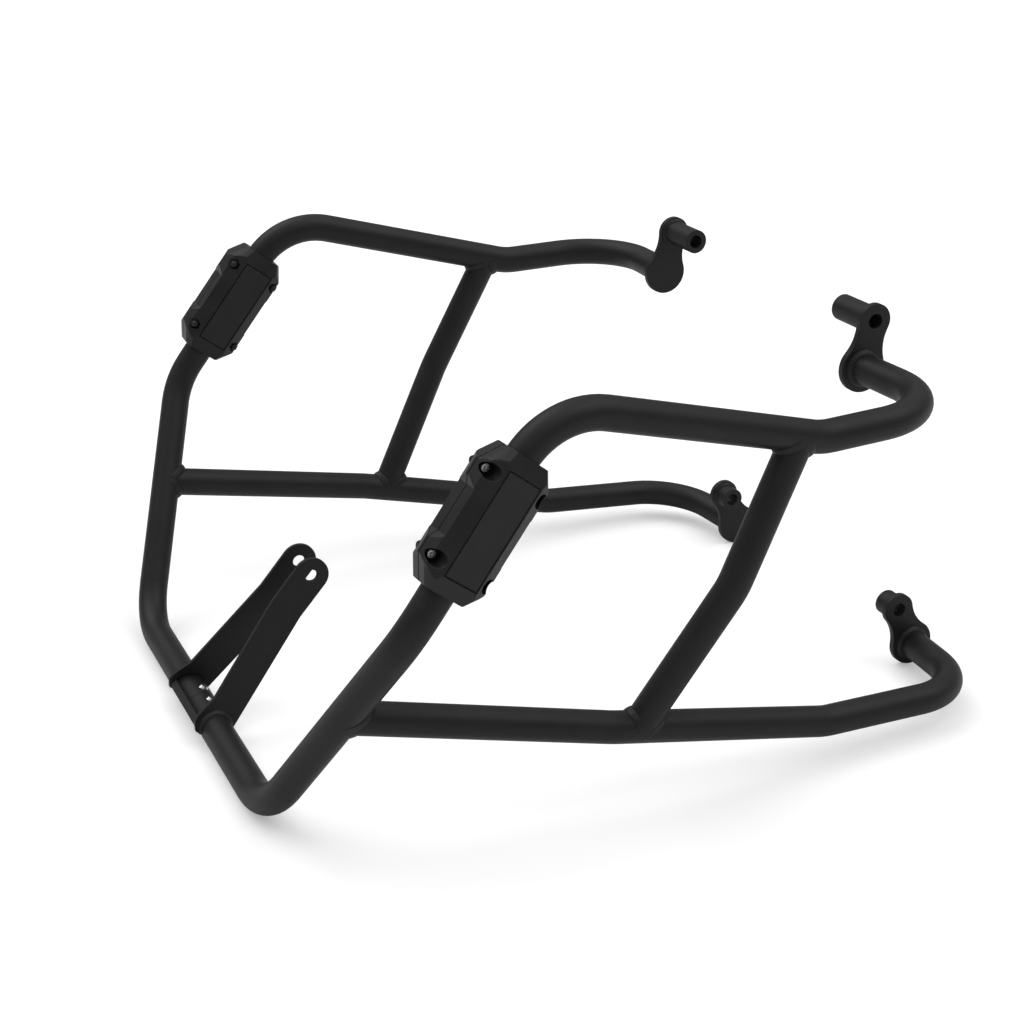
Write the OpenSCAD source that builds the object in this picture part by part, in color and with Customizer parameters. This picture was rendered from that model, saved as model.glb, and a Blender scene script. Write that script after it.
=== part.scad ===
// Motorcycle crash bars: two bent tube loops, joined at the front, that stand out on both sides of the
// engine. +X is the rider's left, +Y points to the rear wheel and +Z is up. The origin lies on the floor
// under the middle of the whole. Sizes behind the front tube are measured from its axis, and sizes from
// the middle from the plane between the two halves. Everything is in millimetres.

/* [Tube] */
// Outside diameter of every bent tube
tube_d = 22; // [20:0.5:25]
// Wall of the bent tubes
tube_wall = 2; // [1.5:0.1:3]
// Centre-line radius of every bend
bend_r = 55; // [45:1:60]

/* [Main tubes, at the corners where their centre lines would meet] */
// Front corner, from the middle
front_x = 156; // [130:1:175]
// Corner below the guard pad, from the middle
foot_x = 261; // [240:1:280]
// Corner below the guard pad, behind the front tube
foot_y = 61; // [40:1:80]
// Corner below the guard pad, above the floor
foot_z = 172; // [155:1:185]
// Corner above the guard pad, from the middle
shoulder_x = 254; // [235:1:270]
// Corner above the guard pad, behind the front tube
shoulder_y = 155; // [140:1:170]
// Corner above the guard pad, above the floor
shoulder_z = 298; // [285:1:320]
// Slight bend of the top rail, from the middle
tail_x = 244; // [230:1:260]
// Slight bend of the top rail, behind the front tube
tail_y = 348; // [330:1:365]
// Slight bend of the top rail, above the floor
tail_z = 248; // [235:1:265]
// Rear corner, from the middle
hook_x = 240; // [225:1:255]
// Rear corner, behind the front tube
hook_y = 452; // [435:1:470]
// Rear corner, above the floor
hook_z = 252; // [240:1:265]
// How far the tube's upper end lies in front of its rear corner
hook_run = 4; // [0:1:10]

/* [Lower tubes] */
// Where a lower tube leaves the main tube, as a share of the way from the front corner to the foot
lower_share = 0.57; // [0.5:0.01:0.6]
// First bend, from the middle
sill_x = 233; // [220:1:245]
// First bend, behind the front tube
sill_y = 211; // [195:1:225]
// First bend, above the floor
sill_z = 65; // [55:1:75]
// Second bend, from the middle
dip_x = 224; // [215:1:235]
// Second bend, behind the front tube
dip_y = 382; // [365:1:395]
// Second bend, above the floor
dip_z = 27; // [22:1:32]
// Rear corner, from the middle
heel_x = 216; // [205:1:225]
// Rear corner, behind the front tube
heel_y = 513; // [500:1:530]
// Rear corner, above the floor
heel_z = 21; // [18:1:26]
// How far the tube's end lies behind its rear corner
heel_run = 11; // [0:1:16]

/* [Brace tubes] */
// Where a brace meets the top rail, as a share of the way from the shoulder to the slight bend
brace_top_share = 0.91; // [0.8:0.01:0.92]
// Bend of the brace, from the middle
brace_x = 252; // [240:1:262]
// Bend of the brace, behind the front tube
brace_y = 284; // [275:1:292]
// Bend of the brace, above the floor
brace_z = 159; // [150:1:170]
// Where a brace meets the lower tube, as a share of the way from its first bend to its second
brace_foot_share = 0.11; // [0.08:0.01:0.2]

/* [Mounting lugs] */
// Thickness of a lug plate
lug_t = 5; // [4:0.5:6]
// Radius of the end that is welded to the tube
lug_big_r = 17.5; // [16:0.5:20]
// Radius of the end with the bolt hole
lug_small_r = 12.5; // [11.5:0.5:14]
// From the tube's axis to the bolt hole
lug_reach = 34; // [30:0.5:40]
// Radius of the hollow sides between the two ends
lug_waist_r = 30; // [20:1:60]
// Outer face of the upper lugs, from the middle
upper_lug_x = 145; // [130:1:155]
// Lean of the upper lugs, to the rear
upper_lean = 12; // [-10:1:20]
// Outer face of the lower lugs, from the middle
lower_lug_x = 132; // [120:1:140]
// Lean of the lower lugs, to the front
lower_lean = 26; // [10:1:35]
// Outside diameter of the spacers
spacer_d = 19; // [17:0.5:22]
// Length of the upper spacers
upper_spacer_l = 35; // [20:1:45]
// Length of the lower spacers
lower_spacer_l = 12.5; // [8:0.5:20]
// Bolt hole through lugs and spacers, for an M10 bolt
bolt_d = 10.5; // [10.2:0.1:11]

/* [Frame bracket] */
// Sheet of the bracket
sheet_t = 3; // [2:0.5:4]
// From the front tube's axis to the bracket's bolt hole
arm_l = 125; // [100:1:140]
// Rise of the bracket, from level
arm_rise = 49.5; // [40:0.5:60]
// Width of an arm
arm_w = 26; // [24:0.5:32]
// Gap between the arms at the bolt
arm_gap = 25; // [20:0.5:32]
// Gap between the arms at the front tube's axis
foot_gap = 66; // [56:1:72]
// From the bolt hole to the bend in an arm
arm_straight = 30; // [25:1:45]
// Bolt hole in the arms, for an M8 bolt
arm_hole_d = 9; // [8.4:0.1:10]
// Width of the strip that ties the arms together in front of the tube
strip_w = 6; // [4:0.5:8]
// Gap between the strip's free end and the right arm
strip_gap = 2; // [1:0.5:5]

/* [Joint in the front tube] */
// Seam between the two halves
seam = 0.4; // [0.2:0.1:1]
// Length of the sleeve in the seam
sleeve_l = 70; // [50:1:90]
// Wall of the sleeve
sleeve_wall = 3; // [2:0.5:4]
// From the seam to a screw
joint_screw_x = 10; // [8:0.5:14]
// Angle of the screws above the rear side
joint_screw_rise = 65; // [45:1:90]
// Head of the joint screws
joint_head_d = 7.6; // [7:0.1:8]
// Shank of the joint screws
joint_shank_d = 4; // [3:0.5:5]

/* [Guard pads] */
// From the middle of the straight stretch up to a pad's middle
pad_up = 8.5; // [0:0.5:10]
// Length of a pad along the tube
pad_l = 93; // [86:1:98]
// Length over the ears
pad_ear_l = 64; // [60:1:72]
// Length between the ears
pad_notch_l = 41; // [34:1:44]
// Width over the ears
pad_w = 50.5; // [49:0.5:56]
// Width between the ears
pad_waist = 44; // [40:0.5:46]
// Width at the ends
pad_end_w = 30; // [27:0.5:34]
// From the tube's axis to the flat faces
pad_deep = 17; // [15:0.5:20]
// From the tube's axis to the surface at the pad's ends
pad_end_deep = 12.5; // [12:0.5:14]
// Radius that takes the corners off the ends
pad_nose_r = 17; // [15.5:0.5:19]
// Width of the flat faces
pad_face_w = 26; // [22:0.5:29]
// Length of the flat faces
pad_face_l = 72; // [64:1:78]
// Seam between the two shells
pad_seam = 0.6; // [0.3:0.1:1]
// Height of the long edges, from the seam
pad_edge = 2.5; // [2:0.5:4]
// Width over the knees, where the shoulders turn steep
pad_knee_w = 45; // [43:0.5:46]
// Height of the knees, from the seam
pad_knee_h = 10; // [8:0.5:12]
// Width of the groove round the flat faces
pad_groove_w = 0.7; // [0.4:0.1:1.2]
// Depth of the groove round the flat faces
pad_groove_deep = 0.8; // [0.4:0.1:1.2]
// From the edge of the flat faces to their groove
pad_groove_in = 0.6; // [0.4:0.1:2]
// Distance between the screws along the tube
pad_screw_l = 58; // [56:1:60]
// Distance between the screws across the tube
pad_screw_w = 39; // [37:0.5:40]
// Shank of the pad screws
pad_shank_d = 4; // [3:0.5:5]
// Head of the pad screws
pad_head_d = 7.2; // [6.6:0.1:8]
// Pocket round a screw head
pad_pocket_d = 10; // [9:0.1:10.5]
// Seat of the screw heads, from the seam
pad_head_seat = 1.5; // [1:0.5:4]
// Cap nuts, across their flats
pad_nut_across = 7; // [6.5:0.1:8]
// Seat of the nuts, from the seam
pad_nut_seat = 7; // [6:0.5:8]
// How far the caps of the nuts stand out past their hexagons
pad_cap_l = 5; // [3:0.5:6]
// Fit of the shells on the tube
pad_fit = 0.1; // [0.05:0.05:0.2]

/* [Welds] */
// Leg of the weld beads
bead = 3; // [2:0.5:4]
// Leg of the beads round the spacers
small_bead = 2; // [1.5:0.5:3]

/* [Hidden] */
$fn = 96;

black_coat = "#232324";
weld_coat = "#29292a";
moulded_black = "#303032";
bright_steel = "#c9cacc";
plain_steel = "#8c8d90";

tube_r = tube_d / 2;
tube_bore_r = tube_r - tube_wall;
lap = 0.5;
taper_l = 1.6;
thinning = 0.03;
past = 40;

function unit(v) = v / norm(v);
function between(a, b, share) = a + (b - a) * share;

// Branches are aimed a trace outside the axis of the tube they are welded to.
off_axis = [0.4, 0, 0];

// Corners of the centre lines, on the rider's left.
main_path = [[seam / 2, 0, tube_r], [front_x, 0, tube_r], [foot_x, foot_y, foot_z],
    [shoulder_x, shoulder_y, shoulder_z], [tail_x, tail_y, tail_z], [hook_x, hook_y, hook_z],
    [upper_lug_x, hook_y - hook_run, hook_z]];
lower_start = between(main_path[1], main_path[2], lower_share) + off_axis;
lower_path = [lower_start, [sill_x, sill_y, sill_z], [dip_x, dip_y, dip_z], [heel_x, heel_y, heel_z],
    [lower_lug_x, heel_y + heel_run, lug_big_r]];
brace_top = between(main_path[3], main_path[4], brace_top_share) + off_axis;
brace_foot = between(lower_path[1], lower_path[2], brace_foot_share) + off_axis;
brace_path = [brace_top, [brace_x, brace_y, brace_z], brace_foot];

upper_end = main_path[6];
lower_end = lower_path[4];

// The middle of the whole, from the toes of the bracket to the rear edges of the lower lugs.
toe = tube_r + 2 * sheet_t;
toe_y = -sheet_t * cos(arm_rise) - toe * sin(arm_rise);
middle_y = (toe_y + lower_end[1] + lug_big_r) / 2;

// A path's legs run between its corners, and each bend takes the same length off both legs beside it.
function leg(path, i) = unit(path[i + 1] - path[i]);
function turn(path, i) = acos(leg(path, i - 1) * leg(path, i));
function cut_back(path, i) = i == 0 || i == len(path) - 1 ? 0 : bend_r * tan(turn(path, i) / 2);
function leg_start(path, i) = path[i] + leg(path, i) * cut_back(path, i);
function leg_end(path, i) = path[i + 1] - leg(path, i) * cut_back(path, i + 1);
function square_to(v) = unit(cross(v, abs(v[2]) < 0.9 ? [0, 0, 1] : [1, 0, 0]));

// Puts what is drawn about the origin at a place, with its X, Y and Z axes along three unit vectors.
module placed(at, x, y, z) {
    multmatrix([[x[0], y[0], z[0], at[0]], [x[1], y[1], z[1], at[1]], [x[2], y[2], z[2], at[2]]])
        children();
}

module along(at, z) {
    x = square_to(z);
    placed(at, x, cross(z, x), z) children();
}

module on_the_right() {
    mirror([1, 0, 0]) children();
}

// Every piece is drawn from the front tube's axis, then moved back to stand about the origin.
module finished(shade) {
    color(shade) translate([0, -middle_y, 0]) children();
}

// Half the section along a straight stretch. Beside a bend, its end tapers off inside the bend's wall.
function end_points(r, bore, z, way) = [[r, z], [r - 3 * thinning, z + way * taper_l],
    [bore == 0 ? 0 : bore + 3 * thinning, z + way * taper_l], [bore, z]];
function square_points(r, bore, z) = [[r, z], [bore, z]];
function backward(p) = [for (i = [len(p) - 1:-1:0]) p[i]];

// One straight stretch. Where a bend follows or goes before, it runs a little way into it.
module straight(path, i, r, bore) {
    way = norm(leg_end(path, i) - leg_start(path, i));
    low = i == 0 ? square_points(r, bore, 0) : end_points(r, bore, -lap / 2, -1);
    high = i == len(path) - 2 ? square_points(r, bore, way) : end_points(r, bore, way + lap / 2, 1);
    along(leg_start(path, i), leg(path, i)) rotate_extrude() polygon(concat(backward(low), high));
}

// One bend, turned about its own centre. Its wall is a trace thinner, as bending leaves it.
module bend(path, i, r, bore) {
    travel = leg(path, i - 1);
    inward = unit(leg(path, i) - travel * (leg(path, i) * travel));
    placed(leg_end(path, i - 1) + inward * bend_r, -inward, travel, cross(-inward, travel))
        rotate_extrude(angle = turn(path, i)) translate([bend_r, 0]) difference() {
            circle(r - thinning);
            if (bore > 0) circle(bore + thinning);
        }
}

module bent(path, first, last, r, bore = 0) {
    for (i = [first:last]) straight(path, i, r, bore);
    if (last > first) for (i = [first + 1:last]) bend(path, i, r, bore);
}

module bent_tube(path) {
    bent(path, 0, len(path) - 2, tube_r, tube_bore_r);
}

// The space that a stretch of tube fills, for what is cut to fit it.
module filled(path, first, last, r = tube_r) {
    bent(path, first, last, r);
}

// The tubes lean against their lugs, so they are drawn longer and cut off along the lug's outer face.
function lengthened(path) = [for (i = [0:len(path) - 1])
    path[i] + (i == len(path) - 1 ? leg(path, i - 1) * tube_r : [0, 0, 0])];
main_long_path = lengthened(main_path);
lower_long_path = lengthened(lower_path);

module beyond_lug(end) {
    translate(end - [past, past, past]) cube([past, 2 * past, 2 * past]);
}

module main_tube() {
    difference() {
        bent_tube(main_long_path);
        beyond_lug(upper_end);
        at_joint_screw() joint_screw_space();
    }
}

module lower_tube() {
    difference() {
        bent_tube(lower_long_path);
        filled(main_path, 1, 1);
        beyond_lug(lower_end);
    }
}

module brace_tube() {
    difference() {
        bent_tube(brace_path);
        filled(main_path, 3, 4);
        filled(lower_path, 1, 1);
    }
}

// The lug's outline: a big end on the tube, a small end round the bolt, and hollow sides between them.
module lug_outline() {
    big = lug_big_r + lug_waist_r;
    small = lug_small_r + lug_waist_r;
    up = (big * big - small * small + lug_reach * lug_reach) / (2 * lug_reach);
    side = sqrt(big * big - up * up);
    difference() {
        union() {
            circle(lug_big_r);
            translate([0, lug_reach]) circle(lug_small_r);
            polygon([[0, 0], [side, up], [0, lug_reach], [-side, up]]);
        }
        for (s = [-1, 1]) translate([s * side, up]) circle(lug_waist_r);
        translate([0, lug_reach]) circle(d = bolt_d);
    }
}

// Stands what is drawn at a tube's end: its outer face at X = 0, and the bolt hole above the tube.
module at_lug(end, lean) {
    placed(end, [0, cos(lean), -sin(lean)], [0, sin(lean), cos(lean)], [-1, 0, 0]) children();
}

module lug(end, lean) {
    at_lug(end, lean) linear_extrude(lug_t) lug_outline();
}

module spacer(end, lean, length) {
    at_lug(end, lean) translate([0, lug_reach, lug_t]) linear_extrude(length) difference() {
        circle(d = spacer_d);
        circle(d = bolt_d);
    }
}

module upper_lug() { lug(upper_end, upper_lean); }
module lower_lug() { lug(lower_end, -lower_lean); }
module upper_spacer() { spacer(upper_end, upper_lean, upper_spacer_l); }
module lower_spacer() { spacer(lower_end, -lower_lean, lower_spacer_l); }

// The bracket's own axes: X stays, Y runs up an arm from the tube's axis and Z lies across its width.
module in_arm() {
    placed([0, 0, tube_r], [1, 0, 0], [0, cos(arm_rise), sin(arm_rise)], [0, -sin(arm_rise), cos(arm_rise)])
        children();
}

module along_front_tube(length) {
    translate([0, 0, tube_r]) rotate([90, 0, 90]) linear_extrude(length) children();
}

knee_l = arm_l - arm_straight;
splay = atan((foot_gap - arm_gap) / 2 / knee_l);

// The bent sheet of an arm, seen from its edge. It starts at a depth under the inner face.
module arm_section(depth, thick) {
    near = arm_gap / 2 + depth;
    far = near + thick;
    near_knee = knee_l + depth * tan(splay / 2);
    far_knee = knee_l + (depth + thick) * tan(splay / 2);
    polygon([[near, arm_l + past], [near, near_knee], [near + (near_knee + past) * tan(splay), -past],
        [far + (far_knee + past) * tan(splay), -past], [far, far_knee], [far, arm_l + past]]);
}

// The outline of an arm seen from the side. Its foot straddles the tube: a toe in front, a heel behind.
foot_end = tube_r * 0.75;
heel = [foot_end * 0.7, -tube_r * 1.05];

module arm_outline() {
    polygon([[arm_l, -arm_w / 2], [arm_l, arm_w / 2], [toe, arm_w / 2], [sheet_t, toe], [-sheet_t, toe],
        [-foot_end, toe - 1.5 * sheet_t], [-foot_end, 0], heel]);
    translate([arm_l, 0]) circle(arm_w / 2);
}

module arm_layer(depth, thick) {
    in_arm() intersection() {
        translate([0, 0, -past]) linear_extrude(2 * past) arm_section(depth, thick);
        rotate([90, 0, 90]) linear_extrude(2 * past) arm_outline();
    }
}

module arm() {
    difference() {
        arm_layer(0, sheet_t);
        along_front_tube(2 * past) circle(tube_r);
        in_arm() translate([0, arm_l, 0]) rotate([0, 90, 0]) cylinder(d = arm_hole_d, h = past);
    }
}

// The strip lies flat on the tube's upper front side, a little below the arms' middle.
strip_low = -strip_w;
strip_lift = 0.3;

function arm_inside(along) = arm_gap / 2 + (knee_l - along) * tan(splay);

module strip() {
    start = strip_gap - arm_inside(strip_low + strip_w);
    end = arm_inside(strip_low + strip_w / 2) + sheet_t / 2;
    in_arm() translate([start, strip_low, tube_r + strip_lift]) cube([end - start, strip_w, sheet_t]);
}

// The joint: a sleeve inside both halves, and two screws that pass through the tube into the sleeve.
sleeve_fit = 0.1;
sleeve_r = tube_bore_r - sleeve_fit;
screw_play = 0.2;
joint_head_h = 2.2;
joint_key = 2.5;
joint_key_deep = 1.2;
head_taper = 0.7;
joint_seat = sqrt(tube_r * tube_r - joint_head_d * joint_head_d / 4) - screw_play;

module at_joint_screw() {
    translate([joint_screw_x, 0, tube_r]) rotate([joint_screw_rise - 90, 0, 0]) children();
}

module joint_screw_space() {
    cylinder(d = joint_shank_d + 2 * screw_play, h = tube_d);
    translate([0, 0, joint_seat]) cylinder(d = joint_head_d + 2 * screw_play, h = tube_d);
}

module socket(across, at, depth) {
    translate([0, 0, at - depth]) cylinder(d = across / cos(30), h = depth + 1, $fn = 6);
}

module joint_screw() {
    inner_end = sleeve_r - sleeve_wall - 1;
    difference() {
        union() {
            translate([0, 0, inner_end]) cylinder(d = joint_shank_d, h = joint_seat - inner_end + lap);
            translate([0, 0, joint_seat])
                cylinder(d1 = joint_head_d, d2 = joint_head_d * head_taper, h = joint_head_h);
        }
        socket(joint_key, joint_seat + joint_head_h, joint_key_deep);
    }
}

module sleeve() {
    difference() {
        translate([-sleeve_l / 2, 0, 0]) along_front_tube(sleeve_l) difference() {
            circle(sleeve_r);
            circle(sleeve_r - sleeve_wall);
        }
        at_joint_screw() cylinder(d = joint_shank_d, h = tube_d);
        on_the_right() at_joint_screw() cylinder(d = joint_shank_d, h = tube_d);
    }
}

// Weld beads, each a piece of its own.
module saddle_bead(parent, first, last, branch, i) {
    difference() {
        intersection() {
            filled(parent, first, last, tube_r + bead);
            filled(branch, i, i, tube_r + bead);
        }
        filled(parent, first, last);
        filled(branch, i, i);
    }
}

module lug_bead(path, end) {
    last = len(path) - 2;
    difference() {
        intersection() {
            filled(path, last, last, tube_r + bead);
            translate(end - [0, past, past]) cube([bead, 2 * past, 2 * past]);
        }
        filled(path, last, last);
    }
}

module spacer_bead(end, lean) {
    at_lug(end, lean) translate([0, lug_reach, lug_t]) difference() {
        cylinder(d1 = spacer_d + 2 * small_bead, d2 = spacer_d, h = small_bead);
        cylinder(d = spacer_d, h = small_bead);
    }
}

module tube_beads() {
    saddle_bead(main_path, 1, 1, lower_path, 0);
    saddle_bead(main_path, 3, 4, brace_path, 0);
    saddle_bead(lower_path, 1, 1, brace_path, 1);
    lug_bead(main_long_path, upper_end);
    lug_bead(lower_long_path, lower_end);
    spacer_bead(upper_end, upper_lean);
    spacer_bead(lower_end, -lower_lean);
}

module arm_bead() {
    difference() {
        intersection() {
            arm_layer(sheet_t, bead);
            along_front_tube(2 * past) circle(tube_r + bead);
        }
        along_front_tube(2 * past) circle(tube_r);
    }
}

// A guard pad's own axes: X points outward along its screws, Y across it and Z up along the tube.
pad_axis = leg(main_path, 2);
pad_out = unit([1, 0, 0] - pad_axis * pad_axis[0]);
pad_mid = (leg_start(main_path, 2) + leg_end(main_path, 2)) / 2 + pad_axis * pad_up;

module in_pad() {
    placed(pad_mid, pad_out, cross(pad_axis, pad_out), pad_axis) children();
}

function fourfold(p) = concat(p, [for (i = [len(p) - 1:-1:0]) [-p[i][0], p[i][1]]],
    [for (i = [0:len(p) - 1]) [-p[i][0], -p[i][1]]], [for (i = [len(p) - 1:-1:0]) [p[i][0], -p[i][1]]]);

// Seen along its screws: ears at the four corners, hollow long sides and narrow ends.
module pad_plan() {
    slant = (pad_w - pad_waist) * 0.75;
    polygon(fourfold([[pad_waist / 2, pad_notch_l / 2 - slant], [pad_w / 2, pad_notch_l / 2],
        [pad_w / 2, pad_ear_l / 2], [pad_end_w / 2, pad_l / 2]]));
}

// Seen across: deep along the flat faces, and sloping down to the ends.
module pad_side() {
    polygon(fourfold([[pad_deep, pad_face_l / 2], [pad_end_deep, pad_l / 2]]));
}

// Seen along the tube: flat faces, sloping shoulders that turn steep at a knee, and square long edges.
module pad_end() {
    polygon(fourfold([[pad_deep, pad_face_w / 2], [pad_knee_h, pad_knee_w / 2], [pad_edge, pad_w / 2]]));
}

// Turned about the tube: it takes the corners off the ends.
module pad_nose() {
    wide = pad_w / 2 + 1;
    rotate_extrude() polygon([[0, -pad_l / 2], [pad_nose_r, -pad_l / 2], [wide, -pad_ear_l / 2],
        [wide, pad_ear_l / 2], [pad_nose_r, pad_l / 2], [0, pad_l / 2]]);
}

module pad_block() {
    intersection() {
        pad_nose();
        translate([-past, 0, 0]) rotate([90, 0, 90]) linear_extrude(2 * past) pad_plan();
        translate([0, past, 0]) rotate([90, 0, 0]) linear_extrude(2 * past) pad_side();
        translate([0, 0, -2 * past]) linear_extrude(4 * past) pad_end();
    }
}

module at_pad_screws() {
    for (y = [-1, 1], z = [-1, 1])
        translate([0, y * pad_screw_w / 2, z * pad_screw_l / 2]) rotate([0, 90, 0]) children();
}

// Room for a screw, its head, and its cap nut, which the hexagon keeps from turning.
module pad_screw_space() {
    translate([0, 0, -past]) cylinder(d = pad_shank_d + 2 * screw_play, h = 2 * past);
    translate([0, 0, pad_head_seat]) cylinder(d = pad_pocket_d, h = past);
    translate([0, 0, -pad_nut_seat - past])
        cylinder(d = (pad_nut_across + 2 * screw_play) / cos(30), h = past, $fn = 6);
}

// The flat face reads as a plate of its own, inside a narrow groove.
module pad_groove(side) {
    wide = pad_face_w - 2 * pad_groove_in;
    long = pad_face_l - 2 * pad_groove_in;
    inner = 2 * pad_groove_w;
    translate([side * pad_deep, 0, 0]) difference() {
        cube([2 * pad_groove_deep, wide, long], center = true);
        cube([3 * pad_groove_deep, wide - inner, long - inner], center = true);
    }
}

// One shell is the half of the block on one side of the seam, bored for the tube and the screws.
module pad_shell(side) {
    difference() {
        in_pad() difference() {
            intersection() {
                pad_block();
                translate([side > 0 ? pad_seam / 2 : -pad_seam / 2 - past, -past, -2 * past])
                    cube([past, 2 * past, 4 * past]);
            }
            at_pad_screws() pad_screw_space();
            pad_groove(side);
        }
        filled(main_path, 1, 3, tube_r + pad_fit);
    }
}

pad_head_h = 2.6;
pad_key = 2.5;
pad_key_deep = 1.3;
pad_nut_h = 3.2;
pad_cap_wall = 0.6;
pad_cap_r = pad_shank_d / 2 + pad_cap_wall;
pad_tip = pad_nut_seat + pad_nut_h + pad_cap_l - pad_cap_r - pad_cap_wall;

module pad_screw() {
    difference() {
        union() {
            translate([0, 0, -pad_tip]) cylinder(d = pad_shank_d, h = pad_tip + pad_head_seat + lap);
            translate([0, 0, pad_head_seat])
                cylinder(d1 = pad_head_d, d2 = pad_head_d * head_taper, h = pad_head_h);
        }
        socket(pad_key, pad_head_seat + pad_head_h, pad_key_deep);
    }
}

// A cap nut: a hexagon and a domed cap over the screw's end.
module pad_nut() {
    dome = [for (a = [0:15:90]) [pad_cap_r * cos(a), pad_cap_l - pad_cap_r + pad_cap_r * sin(a)]];
    mirror([0, 0, 1]) difference() {
        union() {
            translate([0, 0, pad_nut_seat])
                cylinder(d = pad_nut_across / cos(30), h = pad_nut_h, $fn = 6);
            translate([0, 0, pad_nut_seat + pad_nut_h])
                rotate_extrude() polygon(concat([[0, -pad_nut_h / 2], [pad_cap_r, -pad_nut_h / 2]], dome));
        }
        translate([0, 0, pad_nut_seat - 1]) cylinder(d = pad_shank_d, h = pad_tip - pad_nut_seat + 1);
    }
}

module left_main_tube() { finished(black_coat) main_tube(); }
module right_main_tube() { finished(black_coat) on_the_right() main_tube(); }
module left_lower_tube() { finished(black_coat) lower_tube(); }
module right_lower_tube() { finished(black_coat) on_the_right() lower_tube(); }
module left_brace_tube() { finished(black_coat) brace_tube(); }
module right_brace_tube() { finished(black_coat) on_the_right() brace_tube(); }
module left_upper_lug() { finished(black_coat) upper_lug(); }
module right_upper_lug() { finished(black_coat) on_the_right() upper_lug(); }
module left_lower_lug() { finished(black_coat) lower_lug(); }
module right_lower_lug() { finished(black_coat) on_the_right() lower_lug(); }
module left_upper_spacer() { finished(black_coat) upper_spacer(); }
module right_upper_spacer() { finished(black_coat) on_the_right() upper_spacer(); }
module left_lower_spacer() { finished(black_coat) lower_spacer(); }
module right_lower_spacer() { finished(black_coat) on_the_right() lower_spacer(); }

// The left arm and the strip are one folded sheet.
module left_bracket_arm() {
    finished(black_coat) {
        arm();
        strip();
    }
}

module right_bracket_arm() { finished(black_coat) on_the_right() arm(); }
module joint_sleeve() { finished(plain_steel) sleeve(); }

module joint_screws() {
    finished(bright_steel) {
        at_joint_screw() joint_screw();
        on_the_right() at_joint_screw() joint_screw();
    }
}

module left_tube_welds() { finished(weld_coat) tube_beads(); }
module right_tube_welds() { finished(weld_coat) on_the_right() tube_beads(); }

module bracket_welds() {
    finished(weld_coat) {
        arm_bead();
        on_the_right() arm_bead();
    }
}

module left_pad_outer() { finished(moulded_black) pad_shell(1); }
module right_pad_outer() { finished(moulded_black) on_the_right() pad_shell(1); }
module left_pad_inner() { finished(moulded_black) pad_shell(-1); }
module right_pad_inner() { finished(moulded_black) on_the_right() pad_shell(-1); }
module left_pad_screws() { finished(bright_steel) in_pad() at_pad_screws() pad_screw(); }
module right_pad_screws() { finished(bright_steel) on_the_right() in_pad() at_pad_screws() pad_screw(); }
module left_pad_nuts() { finished(black_coat) in_pad() at_pad_screws() pad_nut(); }
module right_pad_nuts() { finished(black_coat) on_the_right() in_pad() at_pad_screws() pad_nut(); }

left_main_tube();
right_main_tube();
left_lower_tube();
right_lower_tube();
left_brace_tube();
right_brace_tube();
left_upper_lug();
right_upper_lug();
left_lower_lug();
right_lower_lug();
left_upper_spacer();
right_upper_spacer();
left_lower_spacer();
right_lower_spacer();
left_bracket_arm();
right_bracket_arm();
joint_sleeve();
joint_screws();
left_tube_welds();
right_tube_welds();
bracket_welds();
left_pad_outer();
right_pad_outer();
left_pad_inner();
right_pad_inner();
left_pad_screws();
right_pad_screws();
left_pad_nuts();
right_pad_nuts();
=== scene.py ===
"""Motorcycle crash bars: bent black tubes with guard pads, mounting lugs and a forked bracket."""
import math

import bmesh
import bpy
import numpy as np
from mathutils import Matrix, Vector


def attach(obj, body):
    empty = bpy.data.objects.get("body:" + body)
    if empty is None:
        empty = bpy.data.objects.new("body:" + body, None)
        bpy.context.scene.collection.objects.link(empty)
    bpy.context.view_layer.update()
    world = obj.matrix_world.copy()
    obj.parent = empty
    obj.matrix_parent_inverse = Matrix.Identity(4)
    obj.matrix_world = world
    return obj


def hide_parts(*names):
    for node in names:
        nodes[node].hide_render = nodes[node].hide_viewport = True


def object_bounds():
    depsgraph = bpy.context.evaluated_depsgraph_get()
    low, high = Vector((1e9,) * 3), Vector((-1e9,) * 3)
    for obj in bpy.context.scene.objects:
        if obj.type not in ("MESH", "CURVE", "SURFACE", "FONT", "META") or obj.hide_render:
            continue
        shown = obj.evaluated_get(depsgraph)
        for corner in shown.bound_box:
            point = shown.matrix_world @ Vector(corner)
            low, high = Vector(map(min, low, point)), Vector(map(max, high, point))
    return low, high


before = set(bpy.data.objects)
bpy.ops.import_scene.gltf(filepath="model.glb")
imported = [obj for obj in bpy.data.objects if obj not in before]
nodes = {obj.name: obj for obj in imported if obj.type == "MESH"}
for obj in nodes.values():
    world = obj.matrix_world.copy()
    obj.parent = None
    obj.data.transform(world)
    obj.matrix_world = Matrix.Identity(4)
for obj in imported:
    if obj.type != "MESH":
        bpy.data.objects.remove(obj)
cad_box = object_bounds()


# Materials

NOISE_RANGE = (0.3, 0.7)  # most values of a noise texture lie in here
DULL = 0.25  # specular level of the coat and the plastic

BLACK = (0.0105, 0.0105, 0.011)
BLACK_LIGHTER = (0.0135, 0.0135, 0.014)
GREY_BLACK = (0.012, 0.012, 0.0125)
GREY_BLACK_LIGHTER = (0.016, 0.016, 0.0165)


def new_material(name):
    mat = bpy.data.materials.new(name)
    mat.use_nodes = True
    tree = mat.node_tree
    return mat, tree, tree.nodes["Principled BSDF"]


def add(tree, kind, **values):
    node = tree.nodes.new(kind)
    for key, value in values.items():
        setattr(node, key, value)
    return node


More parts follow.
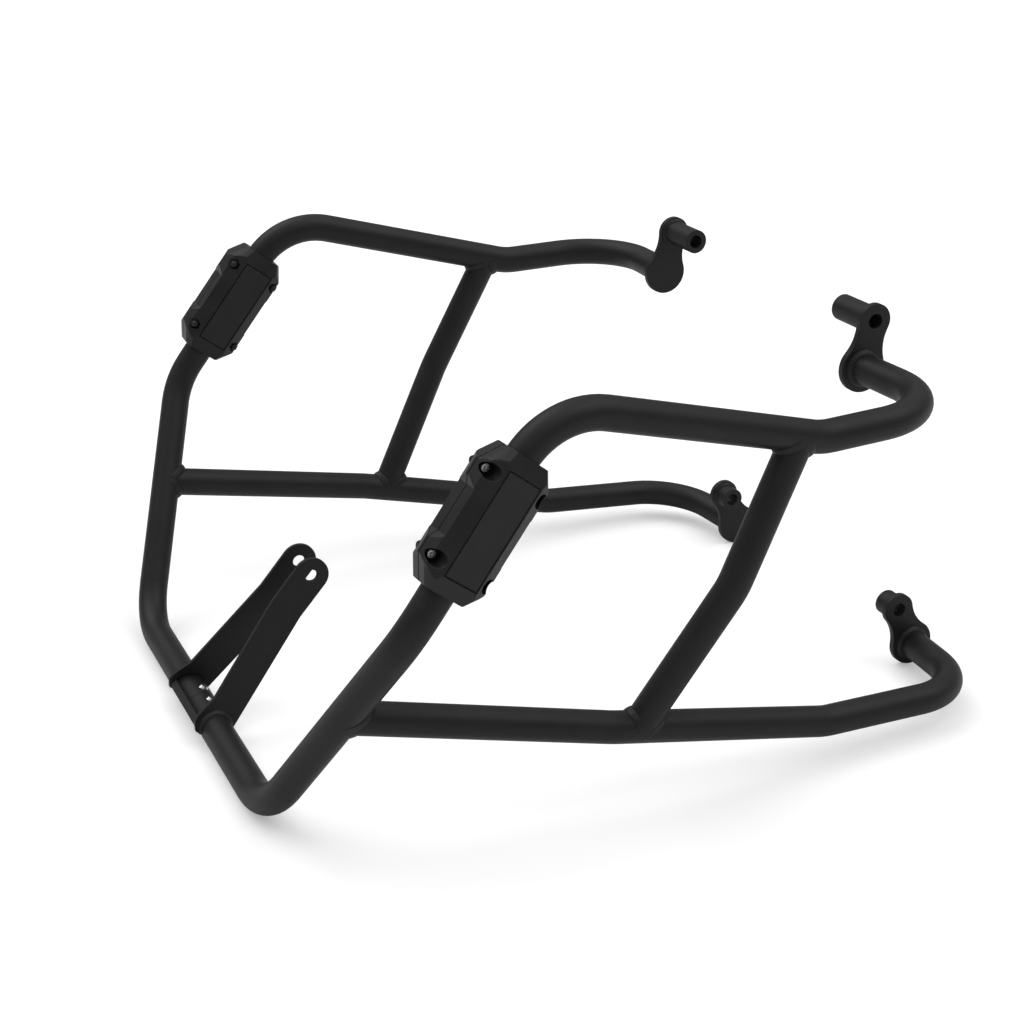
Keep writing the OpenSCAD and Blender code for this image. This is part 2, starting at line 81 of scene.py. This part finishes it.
def noise(tree, scale, detail, rough=0.5):
    """A noise texture on the piece itself, with its scale in turns for each metre."""
    coords = add(tree, "ShaderNodeTexCoord")
    node = add(tree, "ShaderNodeTexNoise")
    node.inputs["Scale"].default_value = scale
    node.inputs["Detail"].default_value = detail
    node.inputs["Roughness"].default_value = rough
    tree.links.new(coords.outputs["Object"], node.inputs["Vector"])
    return node.outputs["Fac"]


def ramp(tree, value, source, target):
    """A value that goes evenly from one range to another."""
    node = add(tree, "ShaderNodeMapRange")
    node.inputs["From Min"].default_value, node.inputs["From Max"].default_value = source
    node.inputs["To Min"].default_value, node.inputs["To Max"].default_value = target
    tree.links.new(value, node.inputs["Value"])
    return node.outputs["Result"]


def paint(tree, bsdf, value, dark, light):
    """Gives a material its colour, between two tones."""
    node = add(tree, "ShaderNodeMix", data_type="RGBA")
    factor, tone_a, tone_b = node.inputs[0], node.inputs[6], node.inputs[7]
    tone_a.default_value, tone_b.default_value = (*dark, 1), (*light, 1)
    tree.links.new(value, factor)
    tree.links.new(node.outputs[2], bsdf.inputs["Base Color"])


def gloss(tree, bsdf, value, low, high):
    """Gives a material its roughness, between two levels."""
    tree.links.new(ramp(tree, value, NOISE_RANGE, (low, high)), bsdf.inputs["Roughness"])


def bump(tree, bsdf, height, strength, distance):
    node = add(tree, "ShaderNodeBump")
    node.inputs["Strength"].default_value = strength
    node.inputs["Distance"].default_value = distance
    tree.links.new(height, node.inputs["Height"])
    tree.links.new(node.outputs["Normal"], bsdf.inputs["Normal"])


def coat_material(name, dark, light, rough, grain):
    """Satin powder coat: a fine orange peel, and a little unevenness in tone and gloss."""
    mat, tree, bsdf = new_material(name)
    cloud = noise(tree, scale=34, detail=3)
    peel = noise(tree, scale=grain, detail=3, rough=0.6)
    paint(tree, bsdf, ramp(tree, cloud, NOISE_RANGE, (0, 1)), dark, light)
    gloss(tree, bsdf, peel, rough - 0.05, rough + 0.06)
    bsdf.inputs["Specular IOR Level"].default_value = DULL
    bump(tree, bsdf, peel, strength=0.35, distance=0.0002)
    return mat


def plastic_material(name):
    """Moulded plastic with a fine grain."""
    mat, tree, bsdf = new_material(name)
    cloud = noise(tree, scale=60, detail=3)
    grain = noise(tree, scale=1500, detail=2, rough=0.6)
    paint(tree, bsdf, ramp(tree, cloud, NOISE_RANGE, (0, 1)), GREY_BLACK, GREY_BLACK_LIGHTER)
    gloss(tree, bsdf, cloud, 0.34, 0.44)
    bsdf.inputs["Specular IOR Level"].default_value = DULL
    bump(tree, bsdf, grain, strength=0.25, distance=0.0001)
    return mat


def steel_material(name, tone, rough):
    """Bare steel, a little uneven in tone and gloss."""
    mat, tree, bsdf = new_material(name)
    streaks = noise(tree, scale=900, detail=2, rough=0.6)
    bsdf.inputs["Metallic"].default_value = 1.0
    paint(tree, bsdf, streaks, tuple(0.9 * c for c in tone), tone)
    gloss(tree, bsdf, streaks, rough - 0.06, rough + 0.06)
    bump(tree, bsdf, streaks, strength=0.15, distance=0.00005)
    return mat


coat = coat_material("black_powder_coat", BLACK, BLACK_LIGHTER, rough=0.47, grain=1300)
weld_coat = coat_material("coated_weld", BLACK, BLACK_LIGHTER, rough=0.45, grain=1300)
plastic = plastic_material("guard_plastic")
bright = steel_material("stainless_steel", (0.62, 0.62, 0.63), rough=0.28)
plain = steel_material("plain_steel", (0.38, 0.38, 0.39), rough=0.42)
black_steel = coat_material("black_steel", GREY_BLACK, GREY_BLACK_LIGHTER, rough=0.36, grain=2000)


def material_of(name):
    if name.endswith(("pad_outer", "pad_inner")):
        return plastic
    if name.endswith("screws"):
        return bright
    if name.endswith("nuts"):
        return black_steel
    if name == "joint_sleeve":
        return plain
    if name.endswith("welds"):
        return weld_coat
    return coat


for name, obj in nodes.items():
    obj.data.materials.clear()
    obj.data.materials.append(material_of(name))


# Rounded edges, in metres

SHORTEST_EDGE = 0.0001
CRUMB = 0.00002


def soften(obj, width, segments, angle, clamp):
    """Rounds a CAD piece's edges with modifiers, after the shortest edges are closed up."""
    join = obj.modifiers.new("join", "WELD")
    join.merge_threshold = SHORTEST_EDGE
    flat = obj.modifiers.new("flat", "DECIMATE")
    flat.decimate_type = "DISSOLVE"
    flat.angle_limit = math.radians(0.5)
    edge = obj.modifiers.new("edge", "BEVEL")
    edge.width, edge.segments = width, segments
    edge.limit_method, edge.angle_limit = "ANGLE", math.radians(angle)
    edge.use_clamp_overlap = clamp
    crumbs = obj.modifiers.new("crumbs", "WELD")
    crumbs.merge_threshold = CRUMB
    obj.modifiers.new("even", "WEIGHTED_NORMAL")


for name, obj in nodes.items():
    if name.endswith(("pad_outer", "pad_inner")):
        soften(obj, width=0.0004, segments=3, angle=20, clamp=False)
    elif name.endswith(("lug", "arm")):
        soften(obj, width=0.0005, segments=2, angle=35, clamp=True)


# Lines of the tubes, in millimetres. The drawing starts under the front tube's axis.

TUBE_R, BEND_R = 11.0, 55.0
DRAWING_TO_FRAME = np.array([0.0, -263.3124, 0.0])
MAIN = np.array([[0.2, 0, 11], [156, 0, 11], [261, 61, 172], [254, 155, 298], [244, 348, 248],
                 [240, 452, 252], [145, 448, 252]], float)
FORK = MAIN[1] + (MAIN[2] - MAIN[1]) * 0.57
LOWER = np.array([FORK, [233, 211, 65], [224, 382, 27], [216, 513, 21], [132, 524, 17.5]], float)
BRACE_TOP = MAIN[3] + (MAIN[4] - MAIN[3]) * 0.91
BRACE_FOOT = LOWER[1] + (LOWER[2] - LOWER[1]) * 0.11
BRACE = np.array([BRACE_TOP, [252, 284, 159], BRACE_FOOT])
OUTWARD = np.array([1.0, 0, 0])
POINT_STEP = 0.5


def unit(v):
    return v / np.linalg.norm(v)


def straight(start, end):
    return np.linspace(start, end, max(int(np.linalg.norm(end - start) / POINT_STEP), 2))


def rounded(path):
    """Points along a path whose corners are turned at the bend radius."""
    points, start = [], path[0]
    for before, corner, after in zip(path, path[1:], path[2:]):
        a, b = unit(corner - before), unit(after - corner)
        angle = math.acos(float(a @ b))
        cut = BEND_R * math.tan(angle / 2)
        begin, inward = corner - a * cut, unit(b - a * float(a @ b))
        points.append(straight(start, begin))
        t = np.linspace(0, angle, max(int(BEND_R * angle / POINT_STEP), 2))[:, None]
        points.append(begin + inward * BEND_R * (1 - np.cos(t)) + a * BEND_R * np.sin(t))
        start = corner + b * cut
    points.append(straight(start, path[-1]))
    return np.vstack(points)


def tube_field(path):
    """A tube's surface as a function: distance outside it, and the way out of it, at each point."""
    line = rounded(path)
    a, d = line[:-1], line[1:] - line[:-1]
    keep = (d * d).sum(1) > 1e-12
    a, d = a[keep], d[keep]

    def field(p):
        t = np.clip(((p[:, None] - a) * d).sum(2) / (d * d).sum(1), 0, 1)
        off = p[:, None] - (a + d * t[..., None])
        dist = np.linalg.norm(off, axis=2)
        near = dist.argmin(1)
        rows = np.arange(len(p))
        return dist[rows, near] - TUBE_R, off[rows, near] / dist[rows, near][:, None]
    return field


def plane_field(at, out):
    """The same for a flat face through a point."""
    def field(p):
        return (p - at) @ out, np.tile(out, (len(p), 1))
    return field


# Rippled weld beads, in millimetres

SEAM_REACH = 60.0
BEAD_STEPS = 9
BEAD_FULLNESS = 0.3
BEAD_ROOT = 0.4
EDGE_SINK = 0.15
RIPPLE_LAG = 0.55
RIPPLE_HEIGHT = 0.10
WAVER = 0.03


def all_round(count):
    return np.linspace(0, 2 * math.pi, count, endpoint=False)[:, None]


def seam_round(start, way, other, count):
    """Where a tube meets another surface: points all round, and both surfaces' ways out there."""
    x = unit(np.cross(way, [0, 0, 1] if abs(way[2]) < 0.9 else [1, 0, 0]))
    y = np.cross(way, x)
    turn = all_round(count)
    out = x * np.cos(turn) + y * np.sin(turn)
    low, high = np.zeros(count), np.full(count, SEAM_REACH)
    for _ in range(40):
        mid = (low + high) / 2
        outside = other(start + way * mid[:, None] + out * TUBE_R)[0] > 0
        high, low = np.where(outside, mid, high), np.where(outside, low, mid)
    points = start + way * high[:, None] + out * TUBE_R
    return points, out, other(points)[1]


def seam_lengths(points, closed):
    """Length along the seam at each of its points, and its whole length."""
    nxt = np.roll(points, -1, 0) if closed else points[1:]
    step = np.linalg.norm(nxt - (points if closed else points[:-1]), axis=1)
    return np.concatenate([[0], np.cumsum(step)])[:len(points)], step.sum()


def bead(points, na, nb, leg, closed=True, b_is_round=True, pitch=2.4):
    """A rippled bead in the corner between a round surface a and a surface b: vertices and faces."""
    along, whole = seam_lengths(points, closed)
    ripples = max(round(whole / pitch), 1)
    cosine = (na * nb).sum(1)[:, None]
    ta, tb = na - nb * cosine, nb - na * cosine
    ta /= np.linalg.norm(ta, axis=1)[:, None]
    tb /= np.linalg.norm(tb, axis=1)[:, None]
    round_sink = EDGE_SINK + leg * leg / (2 * TUBE_R)
    rows = []
    for k in range(BEAD_STEPS):
        part = k / (BEAD_STEPS - 1)
        theta = math.pi / 2 * part
        lag = RIPPLE_LAG * (1 - (4 * theta / math.pi - 1) ** 2)
        phase = (along / whole * ripples + lag) % 1.0
        ripple = np.sqrt(np.clip(1 - (2 * phase - 1) ** 2, 0, 1)) - 0.75
        swell = 1 + RIPPLE_HEIGHT * ripple + WAVER * np.sin(along / whole * 2 * math.pi * 3)
        if not closed:
            swell = swell * np.clip(np.minimum(along, whole - along) / leg + 0.35, 0, 1) ** 0.5
        u = BEAD_FULLNESS * math.cos(theta) + (1 - BEAD_FULLNESS) * (1 - part)
        v = BEAD_FULLNESS * math.sin(theta) + (1 - BEAD_FULLNESS) * part
        row = points + leg * swell[:, None] * (ta * u + tb * v)
        if k == 0:
            row = row - nb * (round_sink if b_is_round else EDGE_SINK)
        if k == BEAD_STEPS - 1:
            row = row - na * round_sink
        rows.append(row)
    rows.append(points - BEAD_ROOT * (ta + tb))
    grid = np.stack(rows, 1)
    count, deep = grid.shape[:2]
    faces = []
    for i in range(count if closed else count - 1):
        j = (i + 1) % count
        for k in range(deep):
            m = (k + 1) % deep
            faces.append((i * deep + k, j * deep + k, j * deep + m, i * deep + m))
    if not closed:
        faces.append(tuple(range(deep - 1, -1, -1)))
        faces.append(tuple((count - 1) * deep + k for k in range(deep)))
    return grid.reshape(-1, 3), faces


def weld_piece(name, beads, stands_for):
    """One object from several beads, in the place of a CAD node."""
    vertices, faces = [], []
    for v, f in beads:
        base = len(vertices)
        vertices += [tuple(p) for p in (v + DRAWING_TO_FRAME) / 1000]
        faces += [tuple(i + base for i in face) for face in f]
    mesh = bpy.data.meshes.new(name)
    mesh.from_pydata(vertices, [], faces)
    mesh.validate()
    bm = bmesh.new()
    bm.from_mesh(mesh)
    bmesh.ops.recalc_face_normals(bm, faces=bm.faces)
    bm.to_mesh(mesh)
    bm.free()
    mesh.polygons.foreach_set("use_smooth", [True] * len(mesh.polygons))
    mesh.materials.append(weld_coat)
    obj = bpy.data.objects.new(name, mesh)
    bpy.context.scene.collection.objects.link(obj)
    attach(obj, "root")
    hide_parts(stands_for)


def mirrored(beads):
    return [(v * np.array([-1, 1, 1]), [tuple(reversed(face)) for face in f]) for v, f in beads]


def joint_bead(start, towards, other):
    """Round a branch where it meets another tube."""
    points, na, nb = seam_round(start, unit(towards - start), other, 240)
    return bead(points, na, nb, leg=3.3)


def end_bead(path):
    """Round a tube's end on its lug."""
    end, way = path[-1], unit(path[-2] - path[-1])
    points, na, nb = seam_round(end - way * 12, way, plane_field(end, OUTWARD), 200)
    return bead(points, na, nb, leg=3.2, b_is_round=False)


LUG_T, LUG_REACH, SPACER_R = 5, 34, 9.5


def spacer_bead(end, lean):
    """Round a spacer on its lug's inner side."""
    hole = end + LUG_REACH * np.array([0, math.sin(lean), math.cos(lean)]) - LUG_T * OUTWARD
    turn = all_round(160)
    na = np.hstack([0 * turn, np.cos(turn), np.sin(turn)])
    nb = np.tile(-OUTWARD, (len(turn), 1))
    return bead(hole + na * SPACER_R, na, nb, leg=2.2, b_is_round=False, pitch=2.0)


SHEET_T, ARM_GAP, FOOT_GAP = 3, 25, 66
ARM_RISE = math.radians(49.5)
KNEE = 95.0
SPLAY = math.atan((FOOT_GAP - ARM_GAP) / 2 / KNEE)
ARM_SEAM = (-58, 134)


def arm_bead():
    """Along the outer side of a bracket arm's foot, where it straddles the front tube."""
    turn = np.radians(np.linspace(*ARM_SEAM, 142))[:, None]
    reach, tall = TUBE_R * np.cos(turn), TUBE_R * np.sin(turn)
    outer_face = ARM_GAP / 2 + SHEET_T
    aside = outer_face + (KNEE + SHEET_T * math.tan(SPLAY / 2) - reach) * math.tan(SPLAY)
    up_arm = np.array([0, math.cos(ARM_RISE), math.sin(ARM_RISE)])
    over_arm = np.array([0, -math.sin(ARM_RISE), math.cos(ARM_RISE)])
    axis = np.array([0, 0, TUBE_R])
    points = axis + OUTWARD * aside + up_arm * reach + over_arm * tall
    na = up_arm * np.cos(turn) + over_arm * np.sin(turn)
    nb = np.tile(math.cos(SPLAY) * OUTWARD + math.sin(SPLAY) * up_arm, (len(turn), 1))
    return bead(points, na, nb, leg=2.6, closed=False, b_is_round=False)


main_field, lower_field = tube_field(MAIN), tube_field(LOWER)
tube_beads = [
    joint_bead(LOWER[0], LOWER[1], main_field),
    joint_bead(BRACE[0], BRACE[1], main_field),
    joint_bead(BRACE[2], BRACE[1], lower_field),
    end_bead(MAIN),
    end_bead(LOWER),
    spacer_bead(MAIN[-1], math.radians(12)),
    spacer_bead(LOWER[-1], math.radians(-26)),
]
weld_piece("left_rippled_welds", tube_beads, "left_tube_welds")
weld_piece("right_rippled_welds", mirrored(tube_beads), "right_tube_welds")
arm_beads = [arm_bead()]
weld_piece("bracket_rippled_welds", arm_beads + mirrored(arm_beads), "bracket_welds")


# Camera, at the photograph's place

SENSOR_MM, PHOTO_SIDE, FOCAL_PIXELS = 36, 1024, 1803.858
CAMERA_AT = Vector((1.140452, -0.538321, 0.635345))
AZIMUTH, ELEVATION, ROLL = math.radians(65.494), math.radians(22.253), 0.0061794

back = Vector((math.sin(AZIMUTH) * math.cos(ELEVATION), -math.cos(AZIMUTH) * math.cos(ELEVATION),
               math.sin(ELEVATION)))
level_right = (-back).cross(Vector((0, 0, 1))).normalized()
level_up = level_right.cross(-back)
right = level_right * math.cos(ROLL) + level_up * math.sin(ROLL)
up = level_up * math.cos(ROLL) - level_right * math.sin(ROLL)
lens = bpy.data.cameras.new("camera")
lens.sensor_width = SENSOR_MM
lens.lens = FOCAL_PIXELS / PHOTO_SIDE * SENSOR_MM
lens.clip_start, lens.clip_end = 0.05, 60
camera = bpy.data.objects.new("camera", lens)
bpy.context.scene.collection.objects.link(camera)
turned = Matrix((right, up, back)).transposed().to_4x4()
turned.translation = CAMERA_AT
camera.matrix_world = turned
bpy.context.scene.camera = camera


# Floor, world and lamps

FLOOR_HALF = 14.0
FLOOR_TONE = 0.8
FLOOR_LIFT = 0.34
SKY_HEIGHTS, SKY_STRENGTHS = (0.3, 0.9), (0.22, 0.85)


def seen_white(tree, surface, strength):
    """What the camera sees of a surface, lifted towards white. Other rays meet the surface as it is."""
    path = add(tree, "ShaderNodeLightPath")
    scale = add(tree, "ShaderNodeMath", operation="MULTIPLY")
    scale.inputs[1].default_value = strength
    tree.links.new(path.outputs["Is Camera Ray"], scale.inputs[0])
    lift = add(tree, "ShaderNodeEmission")
    tree.links.new(scale.outputs[0], lift.inputs["Strength"])
    both = add(tree, "ShaderNodeAddShader")
    tree.links.new(surface, both.inputs[0])
    tree.links.new(lift.outputs[0], both.inputs[1])
    return both.outputs[0]


def make_floor():
    mat, tree, bsdf = new_material("floor")
    bsdf.inputs["Base Color"].default_value = (FLOOR_TONE, FLOOR_TONE, FLOOR_TONE, 1)
    bsdf.inputs["Roughness"].default_value = 0.9
    bsdf.inputs["Specular IOR Level"].default_value = 0.0
    output = tree.nodes["Material Output"]
    tree.links.new(seen_white(tree, bsdf.outputs[0], FLOOR_LIFT), output.inputs["Surface"])
    h = FLOOR_HALF
    mesh = bpy.data.meshes.new("floor")
    mesh.from_pydata([(-h, -h, 0), (h, -h, 0), (h, h, 0), (-h, h, 0)], [], [(0, 1, 2, 3)])
    mesh.materials.append(mat)
    floor = bpy.data.objects.new("floor", mesh)
    floor.location.z = cad_box[0][2]
    bpy.context.scene.collection.objects.link(floor)


def make_world():
    """Brighter from above than from the sides, and plain white where the camera sees it."""
    world = bpy.data.worlds.new("studio")
    bpy.context.scene.world = world
    world.use_nodes = True
    tree = world.node_tree
    background = tree.nodes["Background"]
    background.inputs["Color"].default_value = (1, 1, 1, 1)
    direction = add(tree, "ShaderNodeTexCoord")
    height = add(tree, "ShaderNodeSeparateXYZ")
    tree.links.new(direction.outputs["Generated"], height.inputs[0])
    brightness = ramp(tree, height.outputs["Z"], SKY_HEIGHTS, SKY_STRENGTHS)
    seen = add(tree, "ShaderNodeLightPath")
    either = add(tree, "ShaderNodeMath", operation="MAXIMUM")
    tree.links.new(brightness, either.inputs[0])
    tree.links.new(seen.outputs["Is Camera Ray"], either.inputs[1])
    tree.links.new(either.outputs[0], background.inputs["Strength"])


def sun(name, come_from, strength, angle):
    data = bpy.data.lights.new(name, "SUN")
    data.energy = strength
    data.angle = math.radians(angle)
    obj = bpy.data.objects.new(name, data)
    obj.rotation_euler = Vector(come_from).to_track_quat("Z", "Y").to_euler()
    bpy.context.scene.collection.objects.link(obj)


make_floor()
make_world()
sun("front_softbox", (-0.9, -0.7, 1.6), strength=0.9, angle=50)
sun("rear_softbox", (0.5, 0.9, 1.5), strength=0.7, angle=50)

bpy.context.scene.view_settings.view_transform = "Standard"
